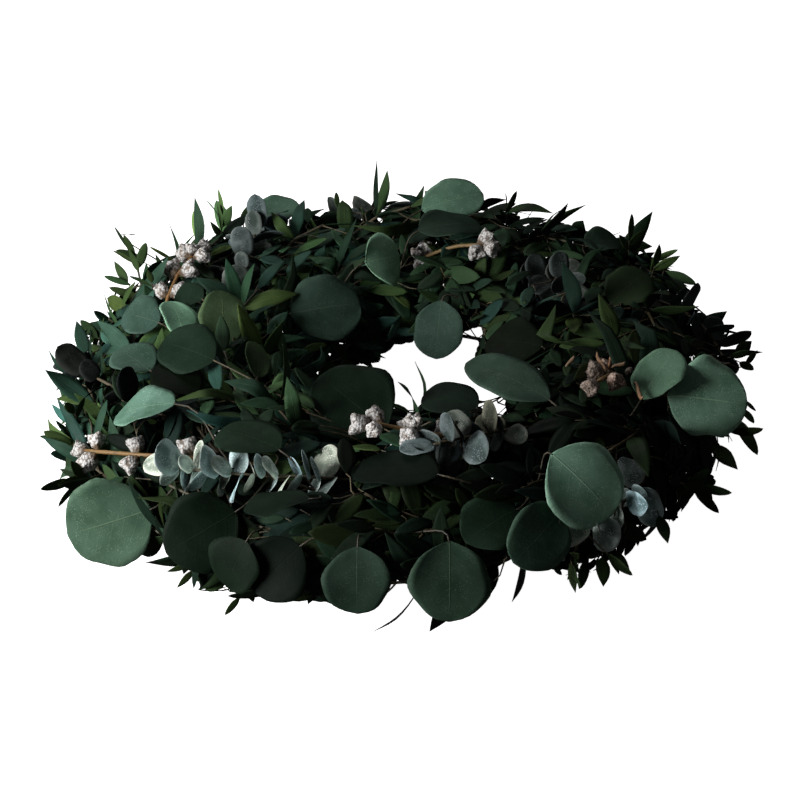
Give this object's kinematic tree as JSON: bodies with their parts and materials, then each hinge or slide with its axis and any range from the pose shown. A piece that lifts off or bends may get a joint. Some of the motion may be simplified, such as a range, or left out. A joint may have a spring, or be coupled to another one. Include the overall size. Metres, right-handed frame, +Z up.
{
  "type": "eucalyptus wreath",
  "caption": "Fresh evergreen wreath of mixed round-leaf, narrow-leaf and blue-leaf eucalyptus with gumnut twigs, held by the clamps of a wire ring.",
  "frame": {"origin": "bottom centre of the wreath's bounding box, on the surface that it lies on", "axes": "+Z up out of the lying wreath's face, +X to the right and -Y to the front of the pictured view"},
  "size_m": [0.5652, 0.5684, 0.1512],
  "materials": {
    "ring_wire": "dark green enamel, satin",
    "round_leaf": "matt living leaf with a faint waxy bloom",
    "narrow_leaf": "satin dark green leaf",
    "blue_leaf": "matt silver-blue waxy leaf",
    "gumnut": "rough silvery-grey dried seed cases on a brown twig"
  },
  "bodies": {
    "root": {"clamp_ring": "ring_wire", "round_leaf_spray_01": "round_leaf", "round_leaf_spray_02": "round_leaf", "round_leaf_spray_03": "round_leaf", "round_leaf_spray_04": "round_leaf", "round_leaf_spray_05": "round_leaf", "round_leaf_spray_06": "round_leaf", "round_leaf_spray_07": "round_leaf", "round_leaf_spray_08": "round_leaf", "round_leaf_spray_09": "round_leaf", "round_leaf_spray_10": "round_leaf", "round_leaf_spray_11": "round_leaf", "round_leaf_spray_12": "round_leaf", "round_leaf_spray_13": "round_leaf", "round_leaf_spray_14": "round_leaf", "round_leaf_spray_15": "round_leaf", "round_leaf_spray_16": "round_leaf", "round_leaf_spray_17": "round_leaf", "round_leaf_spray_18": "round_leaf", "round_leaf_spray_19": "round_leaf", "round_leaf_spray_20": "round_leaf", "blue_leaf_spray_01": "blue_leaf", "blue_leaf_spray_02": "blue_leaf", "blue_leaf_spray_03": "blue_leaf", "blue_leaf_spray_04": "blue_leaf", "blue_leaf_spray_05": "blue_leaf", "blue_leaf_spray_06": "blue_leaf", "blue_leaf_spray_07": "blue_leaf", "blue_leaf_spray_08": "blue_leaf", "gumnut_twig_01": "gumnut", "gumnut_twig_02": "gumnut", "gumnut_twig_03": "gumnut", "gumnut_twig_04": "gumnut", "gumnut_twig_05": "gumnut", "gumnut_twig_06": "gumnut", "narrow_leaf_spray_01": "narrow_leaf", "narrow_leaf_spray_02": "narrow_leaf", "narrow_leaf_spray_03": "narrow_leaf", "narrow_leaf_spray_04": "narrow_leaf", "narrow_leaf_spray_05": "narrow_leaf", "narrow_leaf_spray_06": "narrow_leaf", "narrow_leaf_spray_07": "narrow_leaf", "narrow_leaf_spray_08": "narrow_leaf", "narrow_leaf_spray_09": "narrow_leaf", "narrow_leaf_spray_10": "narrow_leaf", "narrow_leaf_spray_11": "narrow_leaf", "narrow_leaf_spray_12": "narrow_leaf", "narrow_leaf_spray_13": "narrow_leaf", "narrow_leaf_spray_14": "narrow_leaf", "narrow_leaf_spray_15": "narrow_leaf", "narrow_leaf_spray_16": "narrow_leaf", "narrow_leaf_spray_17": "narrow_leaf", "narrow_leaf_spray_18": "narrow_leaf", "narrow_leaf_spray_19": "narrow_leaf", "narrow_leaf_spray_20": "narrow_leaf", "narrow_leaf_spray_21": "narrow_leaf", "narrow_leaf_spray_22": "narrow_leaf", "narrow_leaf_spray_23": "narrow_leaf", "narrow_leaf_spray_24": "narrow_leaf", "narrow_leaf_spray_25": "narrow_leaf"}
  },
  "joints": []
}
